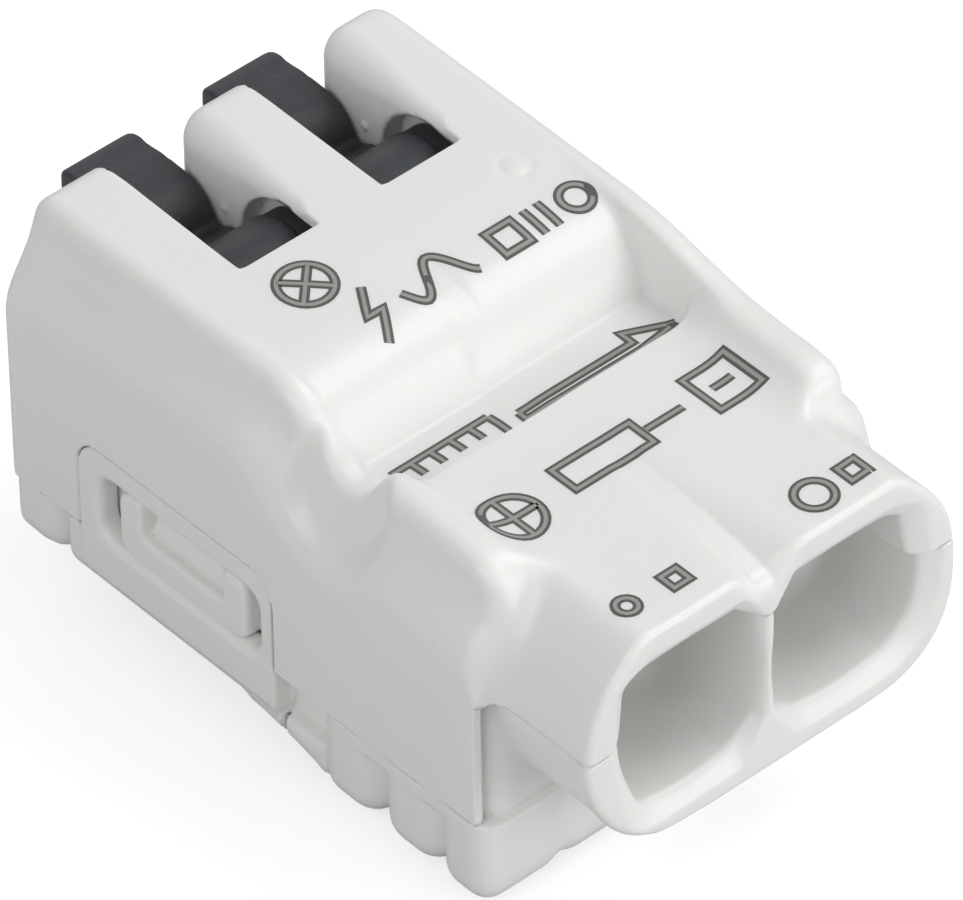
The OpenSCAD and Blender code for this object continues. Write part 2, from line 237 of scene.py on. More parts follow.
# Front outlines, (x, z): one wire entry, and the whole nose.
FRONT_VIEW = ((-6.8, -6.6), (6.8, 6.0))
MOUTH = Profile([(0.24, -1.75), (0.75, -2.25)] + curve([
    (1.2, -2.5), (3.5, -2.52), (4.2, -2.36), (4.75, -1.95), (5.05, -1.3), (5.16, -0.5),
    (5.13, 0.35), (4.95, 1.05), (4.55, 1.62), (3.95, 1.94), (3.3, 2.0)])
    + [(0.9, 2.0), (0.24, 1.42)], *FRONT_VIEW, soft=0.08)
NOSE = Profile(curve([
    (0, 3.25), (2.0, 3.25), (3.5, 3.25), (4.05, 3.2), (4.45, 2.96), (4.85, 2.55),
    (5.28, 2.04), (5.68, 1.42), (5.93, 0.75), (6.05, 0.0), (6.07, -0.8), (5.98, -1.6),
    (5.68, -2.38), (5.12, -3.03), (4.3, -3.44), (3.5, -3.55), (2.0, -3.56), (0, -3.56)])
    + curve([
        (-2.0, -3.56), (-3.35, -3.48), (-4.0, -3.24), (-4.5, -2.92), (-4.95, -2.45),
        (-5.3, -1.9), (-5.6, -1.3), (-5.8, -0.6), (-5.86, 0.0), (-5.8, 0.75), (-5.6, 1.42),
        (-5.26, 2.04), (-4.85, 2.55), (-4.45, 2.96), (-4.05, 3.2), (-3.5, 3.25),
        (-2.0, 3.25)]), *FRONT_VIEW, soft=0.08)

# Side outline of a lever, (y, z).
HANDLE = Profile(
    [(PIVOT_Y, PIVOT_Z - 1.0), (PIVOT_Y + 0.3, PIVOT_Z + 1.2)]
    + curve([
        (PIVOT_Y + 0.75, PIVOT_Z + 1.05), (17.3, 3.38), (17.62, 3.02), (17.78, 2.84),
        (17.86, 2.8), (17.94, 2.82), (18.2, 2.74), (18.45, 2.6), (18.62, 2.55), (18.76, 2.6),
        (18.86, 2.78), (19.02, 3.02), (19.26, 3.24), (19.55, 3.4), (19.8, 3.46),
        (20.1, 3.48), (20.7, 3.5), (21.15, 3.46)])
    + curve([
        (21.28, 3.46), (21.36, 3.45), (21.44, 3.48), (21.64, 3.49), (21.88, 3.42),
        (22.08, 3.26), (TIP - 0.02, 3.0), (TIP, 2.6), (TIP - 0.04, 2.2), (TIP - 0.2, 1.85),
        (TIP - 0.5, 1.64), (TIP - 0.9, 1.6), (TIP - 1.3, 1.72), (TIP - 1.7, 1.8)])
    + [(19.0, 1.74), (17.4, 1.68)], (PIVOT_Y - 2, 0), (TIP + 1, 6.0), soft=0.04)


# ------------------------------------------------------------------ nose and mouths
def mouth(x, y, z, side):
    """The open space of one wire entry; side is 1 for the right and -1 for the left."""
    u = x * side
    depth = np.clip(y, -0.5, 3.4)
    lip = 0.42 * (1 - ramp(0.0, 0.55, y)) ** 2
    outline = MOUTH(u, z)
    outline = np.where(z > SPLIT, trim(outline, u - 4.72 + 0.12 * (z - 0.3), 0.15), outline)
    if side < 0:
        outline = trim(outline, (u - 4.6 - 0.22 * np.minimum(z, 0)) * 0.97, 0.35)
    outline = outline + 0.1 * depth - lip * np.clip(u / 0.9, 0.25, 1)
    funnel = trim(outline, y - 3.3, 0.4)
    radius = distance(u, z, WIRE)
    bore = meet(radius - BORE, y - 8.1)
    cone = meet((radius - BORE + (y - 8.1) * 1.15) * 0.66, 8.0 - y, y - 9.0)
    pilot = meet(radius - 1.15, y - 10.0)
    return blend(funnel, reduce(np.minimum, (bore, cone, pilot)), 0.5)


def carve_mouths(body, x, y, z):
    for side in (1, -1):
        body = carve(body, mouth(x, y, z, side), 0.16)
    return body


def nose_tube(x, y, z, length, grow=0.0):
    tube = round_trim(NOSE(x, z) - 0.04 - grow, -y, 0.22)
    return trim(tube, y - length, 0.2)


def split_at(x):
    """Top of the lower half's share of the nose: it keeps the web between the mouths."""
    return SPLIT + 1.3 * ramp(0.7, 0.62, np.abs(x))


# ------------------------------------------------------------------ upper half
def upper_form(x, y, z, across):
    """The outer form, before the cuts."""
    right = ramp(-1.0, 1.0, x)
    top = TOP_LEFT(y, z) * (1 - right) + TOP_RIGHT(y, z) * right
    shoulder = SHOULDER_LEFT(y, z) * (1 - right) + SHOULDER_RIGHT(y, z) * right
    # upper form with rounded outer edges, hollowed to deck and groove between side walls
    wall = 4.58 + 0.14 * (z - 2.8) - across
    hollowed = blend(MIDDLE(y, z), wall, 0.22 + 1.15 * ramp(8.6, 6.8, y))
    upper = trim(round_trim(top, across - 5.66, 0.5), hollowed, 0.3)
    # wider lower form with the soft shoulder
    wide = round_trim(shoulder, across - HALF_WIDTH, 1.3)
    wide = round_trim(wide, 3.3 - y, 0.08 + 0.5 * ramp(0.0, 1.4, z))
    body = blend(upper, wide, 0.75 + 0.5 * ramp(18.5, 20.4, y))
    body = round_trim(body, y - 20.61, 0.22)
    body = blend(body, nose_tube(x, y, z, 6.0), 0.6)
    body = trim(body, hollowed, 0.12)
    # valley between the two wire bulges
    bank = 1.15 * np.maximum(np.abs(x + 0.12) - 0.27, 0)
    body = trim(body, (z - (2.6 + 0.2 * np.maximum(y, 0) + bank)) * 0.66, 0.45)
    # the groove runs out into a soft dish in the left wall
    dish = round_trim(distance(y, z, (8.95, 2.95)) - 1.6, x + 6.02 - 0.35 * (z - 1.5), 0.3)
    return carve(body, dish, 0.3)


def carve_lever_room(body, x, y, z, across):
    """Lever slots, pivot arches and the sweep of the cam arms."""
    offset = across - LEVER_X
    beside = np.abs(offset)
    slot = trim(beside - SLOT_HALF, 1.25 - z, 0.2)
    slot = trim(slot, 15.02 - y, 0.06)
    # a soft radius on the fin at the right of each lever, a crisp edge at its left
    right = ramp(-0.4, 0.4, offset * np.sign(x))
    edge = 0.38 * ramp(15.3, 16.2, y) + 0.42 * ramp(16.2, 19.6, y)
    body = round_trim(body, -slot, 0.05 + right * edge)
    radius = distance(y, z, (PIVOT_Y, PIVOT_Z))
    body = carve(body, meet(beside - SLOT_HALF, radius - 1.6), 0.1)
    arch = np.minimum(radius - 1.76, meet(slab(y, PIVOT_Y, 1.76), z - PIVOT_Z))
    arch = blend(arch, meet(14.95 - y, y - PIVOT_Y, z - 4.42), 0.1)
    body = carve(body, meet(beside - 1.86, arch), 0.1)
    sweep = meet(radius - 4.92, y - PIVOT_Y, z - 3.85)
    return carve(body, meet(slab(beside, ARM_OFFSET, 0.38), sweep), 0.08)


def catch(y, z, across):
    """A raised U on each side with a scooped middle, in the latch tongue's window."""
    block = round_trim(slab(y, 14.25, 2.38), np.abs(z + 2.72) - 1.0, 0.45)
    block = meet(trim(block, across - 6.38, 0.16), 5.6 - across)
    scoop = round_trim(slab(y, 14.25, 1.5), -(z + 2.84), 0.25)
    return carve(block, meet(scoop, 5.5 + 0.5 * (-1.7 - z) - across), 0.14)


def upper_housing(x, y, z):
    across = np.abs(x)
    body = upper_form(x, y, z, across)
    # underside plane and the space of the lower half of the nose
    body = trim(body, SEAM - z, 0.06)
    front = trim(box2(x, y, (0, 1.5), (6.17, 4.6), 0.35), z - split_at(x), 0.03)
    body = carve(body, front, 0.1)
    body = carve(body, meet(y - 3.4, z - split_at(x)), 0.03)
    body = carve_mouths(body, x, y, z)
    body = carve_lever_room(body, x, y, z, across)
    # spring chambers, and a notch in the wall between them
    chamber = meet(box2(across, y, (2.85, 13.75), (2.35, 4.15), 0.1), z - 1.36)
    chamber_foot = meet(box2(across, y, (2.85, 15.0), (2.35, 4.4), 0.2), z - 0.3)
    body = carve(body, np.minimum(chamber, chamber_foot), 0.06)
    body = carve(body, box3(x, y, z, (-0.6, 9.6, 0.5), (0.6, 11.35, 1.36), 0.0), 0.04)
    # seat of the latch tongue, with its catch
    seat = round_trim(slab(y, LATCH_Y, 3.625), z + 0.815, 0.86)
    body = carve(body, meet(seat, 5.75 - across), 0.03)
    body = blend(body, catch(y, z, across), 0.08)
    # small round nubs on the fin walls
    beside = np.abs(across - LEVER_X)
    nub = np.sqrt((beside - 1.36) ** 2 + (y - 18.57) ** 2 + (z - 2.98) ** 2) - 0.19
    body = blend(body, nub, 0.06)
    # round ejector mark on the hump: a faint sunk ring about a raised dot
    radius = distance(x, y, (3.9, 13.4))
    return (body + 0.035 * np.exp(-((radius - 0.4) / 0.13) ** 2) * (z > 4)
            - 0.02 * np.exp(-(radius / 0.3) ** 2) * (z > 4))


# ------------------------------------------------------------------ lower half
def grip_plan(x, y, z, across):
    """Plan outline: a core with grip bumps all round."""
    plan = box2(x, y, (0, 11.85), (5.82, 8.35), 0.5)
    for bump_y, half in ((8.24, 1.13), (5.98, 1.12)):
        plan = blend(plan, box2(across, y, (5.3, bump_y), (1.17, half), 0.85), 0.15)
    corner = box2(across, y, (5.3, 19.95), (1.19, 0.58), 0.25)
    corner = blend(corner, box2(across, y, (5.3, 19.62), (1.16, 0.86), 0.75), 0.1)
    plan = blend(plan, corner, 0.15)
    plan = blend(plan, box2(across, y, (5.12, 3.99), (1.38, 0.92), 0.7), 0.15)
    # at the seam the front fills out flush, lower down this fades and leaves the bumps
    flush = box2(across, y, (3.0, 5.9), (3.45, 2.6), 0.7)
    plan = blend(plan, flush + 0.9 * ramp(-4.15, -5.1, z), 0.12)
    for bump_x, front in ((1.0, 3.4), (2.9, 3.08)):
        plan = blend(plan, box2(across, y, (bump_x, 4.5), (1.25, 4.5 - front), 0.85), 0.5)
    for bump_x in (1.1, 3.25):
        plan = blend(plan, box2(across, y, (bump_x, 19.5), (0.98, 0.95), 0.7), 0.25)
    return plan


def lower_housing(x, y, z):
    across = np.abs(x)
    under = UNDERSIDE(y, z)
    body = round_trim(grip_plan(x, y, z, across), np.where(y > 9.3, under, BASE - z), 0.92)
    # ledge between the latch foot and the first bump
    ledge = round_trim(box2(x, y, (0, 10.6), (6.36, 1.6), 0.3), under, 0.7)
    body = blend(body, trim(ledge, z + 5.2, 0.2), 0.12)
    # latch foot, flush with the sides, and the fine gap at its front
    foot = box2(across, y, (5.0, 14.57), (1.5, 3.93), 0.12)
    body = blend(body, round_trim(foot, -5.8 - z, 1.05), 0.1)
    body = carve(body, meet(slab(y, 10.62, 0.06), 6.0 - across), 0.05)
    body = trim(body, z - SEAM + 0.02, 0.06)
    # pedestal and lower half of the nose
    pedestal = meet(box2(x, y, (0, 6.6), (6.13, 3.27), 0.78), y - 6.02)
    pedestal = trim(pedestal, z - split_at(x) + 0.01, 0.03)
    body = blend(body, meet(pedestal, SEAM - 0.5 - z), 0.06)
    nose = nose_tube(x, y, z, 4.6, grow=-0.06 * ramp(0.25, 0.8, y))
    body = blend(body, trim(nose, z - split_at(x) + 0.005, 0.02), 0.15)
    # latch tongues with windows
    tongue = round_trim(slab(y, LATCH_Y, 3.6), z + 0.84, 0.85)
    tongue = trim(meet(tongue, -5.0 - z), slab(across, 6.14, 0.355), 0.04)
    tongue = carve(tongue, box2(y, z, (14.26, -2.62), (2.94, 0.99), 0.5), 0.3)
    body = blend(body, tongue, 0.06)
    body = carve_mouths(body, x, y, z)
    # tray, with a post in each front corner and a rib along the middle
    tray = box3(across, y, z, (-9, 9.6, -5.0), (5.2, 19.4, 3), 0.3)
    body = carve(body, tray, 0.1)
    for left, right in ((-5.1, -4.4), (4.4, 5.1)):
        body = blend(body, box3(x, y, z, (left, 9.75, -5.2), (right, 11.1, 0.52), 0.1), 0.05)
    return blend(body, box3(x, y, z, (-0.42, 11.5, -5.2), (0.42, 19.3, -3.84), 0.1), 0.05)


# ------------------------------------------------------------------ lever
def lever(x, y, z):
    """One lever about its own centre plane."""
    beside = np.abs(x)
    body = round_trim(HANDLE(y, z), beside - LEVER_HALF, 0.13)
    # rounded plan corners at the tip
    body = trim(body, box2(x, y, (0, 17.0), (LEVER_HALF, TIP - 17.0), 0.42), 0.1)
    # raised flat on the left of the neck, and a faint line sunk across the pad
    neck = ramp(17.95, 18.02, y) * ramp(18.6, 18.5, y) * ramp(-0.42, -0.5, x)
    body = body - 0.05 * neck * (z > 2.2)
    body = body + 0.012 * np.exp(-((y - 20.55) / 0.1) ** 2) * (z > 3.2)
    # hub and bosses
    radius = distance(y, z, (PIVOT_Y, PIVOT_Z))
    body = blend(body, round_trim(radius - 1.4, beside - LEVER_HALF, 0.05), 0.12)
    body = blend(body, trim(radius - 1.35, slab(beside, ARM_OFFSET, 0.34), 0.08), 0.04)
    # cam arms towards the front, in axes tilted with them
    tilt = math.radians(8)
    cos, sin = math.cos(tilt), math.sin(tilt)
    along = (y - PIVOT_Y) * cos - (z - PIVOT_Z) * sin
    height = (y - PIVOT_Y) * sin + (z - PIVOT_Z) * cos
    arm = polygon(along, height, [
        (0, 1.0), (-1.3, 0.55), (-ARM_LENGTH, ARM_TIP), (-ARM_LENGTH, -ARM_TIP),
        (-1.3, -0.9), (0, -1.5)])
    arm = np.minimum(arm, distance(along, height, (-ARM_LENGTH, 0)) - ARM_TIP)
    return blend(body, trim(arm, slab(beside, ARM_OFFSET, 0.3), 0.08), 0.04)


# ------------------------------------------------------------------ surface nets
def sample(field, low, size, step):
    """The field's values on a grid, worked out in slices to spare memory."""
    xs, ys, zs = [(a + step * np.arange(n)).astype(np.float32) for a, n in zip(low, size)]
    values = np.empty(size, np.float32)
    chunk = max(1, int(1.2e6 / (size[1] * size[2])))
    for i in range(0, size[0], chunk):
        values[i:i + chunk] = field(xs[i:i + chunk, None, None], ys[None, :, None],
                                    zs[None, None, :])
    values[values == 0] = 1e-6
    return values


def net_vertices(values, inside):
    """One vertex for each cell the surface crosses, and the grid of their indices."""
    corners = list(product((0, 1), repeat=3))
    count = np.zeros([n - 1 for n in inside.shape], np.int8)
    for corner in corners:
        count += inside[tuple(slice(c, n - 1 + c) for c, n in zip(corner, inside.shape))]
    active = (count > 0) & (count < 8)
    cells = np.argwhere(active)
    index = -np.ones(active.shape, np.int64)
    index[active] = np.arange(len(cells))
    total = np.zeros((len(cells), 3))
    crossings = np.zeros(len(cells))
    value = {corner: values[tuple((cells + corner).T)] for corner in corners}
    for corner in corners:
        for axis in range(3):
            if corner[axis]:
                continue
            a, b = value[corner], value[corner[:axis] + (1,) + corner[axis + 1:]]
            crossed = (a < 0) != (b < 0)
            t = np.where(crossed, a / np.where(crossed, a - b, 1), 0)
            for j in range(3):
                total[:, j] += np.where(crossed, corner[j] + t if j == axis else corner[j], 0)
            crossings += crossed
    return cells + total / crossings[:, None], index


def net_quads(inside, index):
    """A quad about every grid edge that the surface crosses, facing outwards."""
    size = inside.shape
    quads = []
    for axis in range(3):
        edges = np.argwhere(np.diff(inside, axis=axis))
        u, v = [j for j in range(3) if j != axis]
        edges = edges[(edges[:, u] > 0) & (edges[:, v] > 0)
                      & (edges[:, u] < size[u] - 1) & (edges[:, v] < size[v] - 1)]
        corners = []
        for du, dv in ((1, 1), (0, 1), (0, 0), (1, 0)):
            cell = edges.copy()
            cell[:, u] -= du
            cell[:, v] -= dv
            corners.append(index[tuple(cell.T)])
        quad = np.stack(corners, 1)
        turned = inside[tuple(edges.T)] == (axis == 1)
        quad[turned] = quad[turned][:, ::-1]
        quads.append(quad)
    return np.concatenate(quads)


def gradient(field, points, reach):
    return np.stack([(field(*(points + step).T) - field(*(points - step).T)) / (2 * reach)
                     for step in reach * np.eye(3)], 1)


def mesh_field(field, low, high, step):
    size = [int(math.ceil((b - a) / step)) + 1 for a, b in zip(low, high)]
    values = sample(field, low, size, step)
    inside = values < 0
    vertices, index = net_vertices(values, inside)
    vertices = vertices * step + np.array(low)
    # pull the vertices onto the true surface
    for _ in range(2):
        slope = gradient(field, vertices, 0.02)
        steepness = np.maximum((slope ** 2).sum(1), 0.09)
        shift = np.clip(field(*vertices.T) / steepness, -0.5 * step, 0.5 * step)
        vertices = vertices - slope * shift[:, None]
    slope = gradient(field, vertices, 0.03)
    normals = slope / np.maximum(np.linalg.norm(slope, axis=1), 1e-6)[:, None]
    return vertices, net_quads(inside, index), normals


def keep_large(vertices, quads, normals, least=400):
    """Drops loose specks: keeps every connected shell of at least `least` faces."""
    label = np.arange(len(vertices))
    while True:
        lowest = label[quads].min(1)
        new = label.copy()
        for k in range(4):
            np.minimum.at(new, quads[:, k], lowest)
        new = new[new]
        if (new == label).all():
            break
        label = new
    shell = label[quads[:, 0]]
    ids, counts = np.unique(shell, return_counts=True)
    quads = quads[np.isin(shell, ids[counts >= least])]
    used = np.unique(quads)
    remap = -np.ones(len(vertices), np.int64)
    remap[used] = np.arange(len(used))
    return vertices[used], remap[quads], normals[used]


def add_object(name, data):
    obj = bpy.data.objects.new(name, data)
    bpy.context.scene.collection.objects.link(obj)
    return obj


def moulded(name, field, low, high, step, material, body, node, shift=0.0):
    """Meshes a field, moves it by shift along x and puts it in the place of node."""
    vertices, quads, normals = keep_large(*mesh_field(field, low, high, step))
    vertices = to_metres(vertices + np.array([shift, 0, 0]))
    mesh = bpy.data.meshes.new(name)
    mesh.vertices.add(len(vertices))
    mesh.vertices.foreach_set("co", vertices.astype(np.float32).ravel())
    mesh.loops.add(quads.size)
    mesh.loops.foreach_set("vertex_index", quads.astype(np.int32).ravel())
    mesh.polygons.add(len(quads))
    mesh.polygons.foreach_set("loop_start", np.arange(0, quads.size, 4, dtype=np.int32))
    mesh.update(calc_edges=True)
    mesh.validate()
    mesh.polygons.foreach_set("use_smooth", np.ones(len(mesh.polygons), bool))
    mesh.normals_split_custom_set_from_vertices(normals.astype(np.float32).tolist())
    obj = add_object(name, mesh)
    mesh.materials.append(material)
    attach(obj, body)
    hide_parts(node)


# ------------------------------------------------------------------ materials
def make_material(name, color, rough, rough_var=0.05, bump=0.05, scale=400.0, color2=None,
                  mottle=0.35, metallic=0.0, subsurface=0.0, fine=0.0, bands=None):
    """A plastic or metal whose noise of the given scale drives roughness and bump.

    mottle is the scale of the colour noise as a multiple of scale, fine the strength of a
    second, finer bump, and bands the (scale, strength) of a banded bump along x.
    """
    mat = bpy.data.materials.new(name)
    mat.use_nodes = True
    tree = mat.node_tree
    tree.nodes.clear()
    link = tree.links.new

    def add(kind, **values):
        node = tree.nodes.new("ShaderNode" + kind)
        for key, value in values.items():
            node.inputs[key.replace("_", " ")].default_value = value
        return node

    def add_noise(scale, detail=2):
        node = add("TexNoise", Scale=scale, Detail=detail)
        link(coords.outputs["Object"], node.inputs["Vector"])
        return node

    def add_bump(texture, strength, height, before=None):
        node = add("Bump", Strength=strength, Distance=height)
        link(texture.outputs["Fac"], node.inputs["Height"])
        if before:
            link(before.outputs[0], node.inputs["Normal"])
        return node

    output = add("OutputMaterial")
    shader = add("BsdfPrincipled", Metallic=metallic, IOR=1.5, Specular_IOR_Level=0.5)
    link(shader.outputs[0], output.inputs[0])
    coords = add("TexCoord")
    coarse = add_noise(scale, detail=3)
    roughness = add("MapRange", To_Min=rough - rough_var, To_Max=rough + rough_var)
    link(coarse.outputs["Fac"], roughness.inputs["Value"])
    link(roughness.outputs[0], shader.inputs["Roughness"])
    # colour mix: input 0 is the factor, inputs 6 and 7 and output 2 are the colours
    mix = add("Mix")
    mix.data_type = "RGBA"
    mix.inputs[6].default_value = (*color, 1)
    mix.inputs[7].default_value = (*(color2 or tuple(0.97 * c for c in color)), 1)
    link(add_noise(scale * mottle).outputs["Fac"], mix.inputs[0])
    link(mix.outputs[2], shader.inputs["Base Color"])
    if subsurface:
        shader.inputs["Subsurface Weight"].default_value = subsurface
        shader.inputs["Subsurface Radius"].default_value = (1.0, 0.9, 0.8)
        shader.inputs["Subsurface Scale"].default_value = 0.0004
    last = add_bump(coarse, bump, 0.00002)
    if fine:
        last = add_bump(add_noise(scale * 14), fine, 0.00001, last)
    if bands:
        wave = add("TexWave", Scale=bands[0], Distortion=1.5, Detail=3)
        wave.bands_direction = "X"
        link(coords.outputs["Object"], wave.inputs["Vector"])
        last = add_bump(wave, bands[1], 0.00001, last)
    link(last.outputs[0], shader.inputs["Normal"])
    return mat


WHITE = make_material("housing_white", (0.865, 0.867, 0.85), rough=0.33, rough_var=0.04,
                      scale=260.0, subsurface=0.22, fine=0.06)
GREY = make_material("lever_anthracite", (0.050, 0.056, 0.063), color2=(0.024, 0.028, 0.034),
                     mottle=12, rough=0.46, rough_var=0.12, bump=0.5, scale=1500.0, fine=2.0)
STEEL = make_material("spring_steel", (0.56, 0.56, 0.57), rough=0.24, scale=900.0,
                      metallic=1.0, bands=(2600.0, 0.15))
TIN = make_material("tinned_copper", (0.75, 0.74, 0.72), rough=0.33, rough_var=0.07,
                    bump=0.12, scale=600.0, metallic=1.0)
# The marks are engraved lines in the plastic, drawn as thin inlaid strips. Their two greys
# are painted shade: darker along the edges of each line, lighter along its middle.
ENGRAVING_SHADE_DARK = make_material("mark_painted_shade_dark", (0.10, 0.10, 0.095), rough=0.6, bump=0.2, scale=900.0)
ENGRAVING_SHADE_LIGHT = make_material("mark_painted_shade_light", (0.33, 0.33, 0.31), rough=0.6, bump=0.2, scale=900.0)

# ------------------------------------------------------------------ housing and levers
HOUSING_STEP = 0.13
LEVER_STEP = 0.07
for half, field, bottom, top in (("upper", upper_housing, -4.05, 5.05),
                                 ("lower", lower_housing, -6.95, 2.0)):
    moulded(f"housing_{half}_moulding", field, (-6.75, -0.25, bottom), (6.75, 20.85, top),
            HOUSING_STEP, WHITE, BODY, f"{half}_housing")
for side, centre in SIDES:
    moulded(f"lever_{side}_moulding", lever, (-1.95, 11.2, 0.75), (1.95, 22.5, 4.6),
            LEVER_STEP, GREY, f"lever_{side}", f"lever_{side}", centre)


# ------------------------------------------------------------------ sheet metal
def soften_edges(obj, width):
    """Bevels the sharp edges, width in metres, and shades the rest smooth."""
    bevel = obj.modifiers.new("soft", "BEVEL")
    bevel.width = width
    bevel.segments = 2
    bevel.limit_method = "ANGLE"
    bevel.angle_limit = math.radians(40)
    bpy.context.view_layer.update()
    graph = bpy.context.evaluated_depsgraph_get()
    mesh = bpy.data.meshes.new_from_object(obj.evaluated_get(graph))
    obj.modifiers.clear()
    obj.data = mesh
    mesh.polygons.foreach_set("use_smooth", np.ones(len(mesh.polygons), bool))
    mesh.set_sharp_from_angle(angle=math.radians(38))


def join_parts(name, parts):
    """One object from (vertices, faces) parts, vertices in mm."""
    vertices, faces = [], []
    for part_vertices, part_faces in parts:
        start = len(vertices)
        vertices += part_vertices
        faces += [tuple(i + start for i in face) for face in part_faces]
    mesh = bpy.data.meshes.new(name)
    mesh.from_pydata([tuple(p) for p in to_metres(vertices)], [], faces)
    mesh.validate()
    bm = bmesh.new()
    bm.from_mesh(mesh)
    bmesh.ops.recalc_face_normals(bm, faces=bm.faces)
    bm.to_mesh(mesh)
    bm.free()
    return add_object(name, mesh)


def plate(cells, top, bottom):
    """A closed sheet: cells are quads of keys, top and bottom give each key's two points."""
    ids, vertices, faces, edges = {}, [], [], []
    for cell in cells:
        for key in cell:
            if key not in ids:
                ids[key] = len(vertices)
                vertices += [top(key), bottom(key)]
        edges += zip(cell, cell[1:] + cell[:1])
        faces.append(tuple(ids[key] for key in cell))
        faces.append(tuple(ids[key] + 1 for key in reversed(cell)))
    known = set(edges)
    for a, b in edges:
        if (b, a) not in known:
            faces.append((ids[b], ids[a], ids[a] + 1, ids[b] + 1))
    return vertices, faces


# ------------------------------------------------------------------ clamp springs
SPRING_FLOOR, SPRING_THICKNESS = -5.0, 0.35
BEND_Y, BEND_RADIUS = 12.4, 1.9
BEND_Z = SPRING_FLOOR + BEND_RADIUS + SPRING_THICKNESS / 2 + 0.02
LEG_SLOPE = math.radians(40)
LEG_Y = BEND_Y - BEND_RADIUS * math.sin(LEG_SLOPE)
LEG_Z = BEND_Z + BEND_RADIUS * math.cos(LEG_SLOPE)
FORK_Z = -0.5           # where the leg parts into a tongue between two ears
SPRING_XS = [-1.7, -1.16, -1.08, 0.0, 1.08, 1.16, 1.7]


def on_leg(z):
    """The (y, z) point of the straight leg at height z."""
    return LEG_Y + (z - LEG_Z) / math.tan(LEG_SLOPE), z


def strip_faces(path):
    """The path moved by half the sheet's thickness to each side."""
    p = np.array(path, float)
    along = np.gradient(p, axis=0)
    along /= np.linalg.norm(along, axis=1)[:, None]
    normal = np.stack([-along[:, 1], along[:, 0]], 1)
    return p + normal * SPRING_THICKNESS / 2, p - normal * SPRING_THICKNESS / 2


def spring(side, centre):
    # flat foot, bend round the front, then the leg that slopes up to the rear
    main = [(y, BEND_Z - BEND_RADIUS) for y in (17.2, 16.0, 14.8, 13.6, 12.9)]
    for i in range(21):
        a = math.radians(270 - (270 - 130) * i / 20)
        main.append((BEND_Y + BEND_RADIUS * math.cos(a), BEND_Z + BEND_RADIUS * math.sin(a)))
    main += [on_leg(z) for z in np.linspace(LEG_Z, FORK_Z, 6)[1:]]
    fork = len(main) - 1
    tongue = [on_leg(z) for z in np.linspace(FORK_Z, 0.285, 5)[1:]]
    # each ear follows a Bezier curve
    b0, b1, b2, b3 = [np.array(p) for p in (on_leg(FORK_Z), on_leg(-0.2), (14.0, -0.02),
                                            (15.9, -0.25))]
    ears = []
    for i in range(1, 11):
        t = i / 10
        ears.append(tuple((1 - t) ** 3 * b0 + 3 * (1 - t) ** 2 * t * b1
                          + 3 * (1 - t) * t * t * b2 + t ** 3 * b3))
    faces = {"tongue": strip_faces(main + tongue), "ears": strip_faces(main + ears)}

    def key(branch, row, column):
        return ("tongue" if row <= fork else branch, row, column)

    def on_face(face):
        return lambda k: (centre + SPRING_XS[k[2]], *faces[k[0]][face][k[1]])

    cells = []
    for branch, start, columns in (("tongue", 0, (2, 3)), ("ears", fork, (0, 5))):
        for row in range(start, len(faces[branch][0]) - 1):
            for c in (columns if row >= fork else range(6)):
                cells.append([key(branch, row, c), key(branch, row, c + 1),
                              key(branch, row + 1, c + 1), key(branch, row + 1, c)])
    obj = join_parts(f"clamp_spring_strip_{side}", [plate(cells, on_face(0), on_face(1))])
    soften_edges(obj, 0.00005)
    obj.data.materials.append(STEEL)
    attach(obj, BODY)
    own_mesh(obj)
    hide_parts(f"clamp_spring_{side}")


for side, centre in SIDES:
    spring(side, centre)

# ------------------------------------------------------------------ current bar
BAR_XS = [-5.1, -LEVER_X - 1.1, -LEVER_X + 1.1, -0.3, 0.3, LEVER_X - 1.1, LEVER_X + 1.1, 5.1]
BAR_YS = [9.63, 10.0, 11.2, 12.3, 13.4, 14.4]
BAR_TOP, BAR_BOTTOM = 1.35, 0.55


def current_bar():
    """A notched cross strip with two arms to the rear, each with a round rod under it."""
    columns = [(0, 1, 2, 4, 5, 6), range(7)] + 3 * [(1, 5)]     # filled, row by row
    cells = [[(i, j), (i + 1, j), (i + 1, j + 1), (i, j + 1)]
             for j, filled in enumerate(columns) for i in filled]
    parts = [plate(cells, lambda k: (BAR_XS[k[0]], BAR_YS[k[1]], BAR_TOP),
                   lambda k: (BAR_XS[k[0]], BAR_YS[k[1]], BAR_BOTTOM))]
    n = 20
    ring = [(14.0 + 0.2 * math.cos(a), 0.62 + 0.2 * math.sin(a))
            for a in [math.pi * 2 * i / n for i in range(n)]]
    for _, centre in SIDES:
        vertices = [(centre + x, y, z) for x in (-1.05, 1.05) for y, z in ring]
        faces = [(i, (i + 1) % n, n + (i + 1) % n, n + i) for i in range(n)]
        faces += [tuple(range(n - 1, -1, -1)), tuple(range(n, 2 * n))]
        parts.append((vertices, faces))
    bar = join_parts("current_bar_strip", parts)
    soften_edges(bar, 0.00006)
    bar.data.materials.append(TIN)
    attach(bar, BODY)
    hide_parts("current_bar")


current_bar()


# ------------------------------------------------------------------ pictograms on the top
def top_z(points):
    """Height of the upper half's outer surface above each (x, y)."""
    zs = np.arange(5.1, 1.2, -0.03)
    d = upper_housing(points[:, 0, None], points[:, 1, None], zs[None, :])
    i = np.maximum((d < 0).argmax(1), 1)
    rows = np.arange(len(points))
    a, b = d[rows, i - 1], d[rows, i]
    return zs[i - 1] - 0.03 * a / np.maximum(a - b, 1e-6)


def ring(x, y, radius, n=28):
    angles = [math.radians(360 * i / n) for i in range(n + 1)]
    # the end repeats the start to within a rounding error, which marks the line as closed
    return [(x + radius * math.cos(a), y + radius * math.sin(a)) for a in angles]


def rect(x0, y0, x1, y1):
    return [(x0, y0), (x1, y0), (x1, y1), (x0, y1), (x0, y0)]


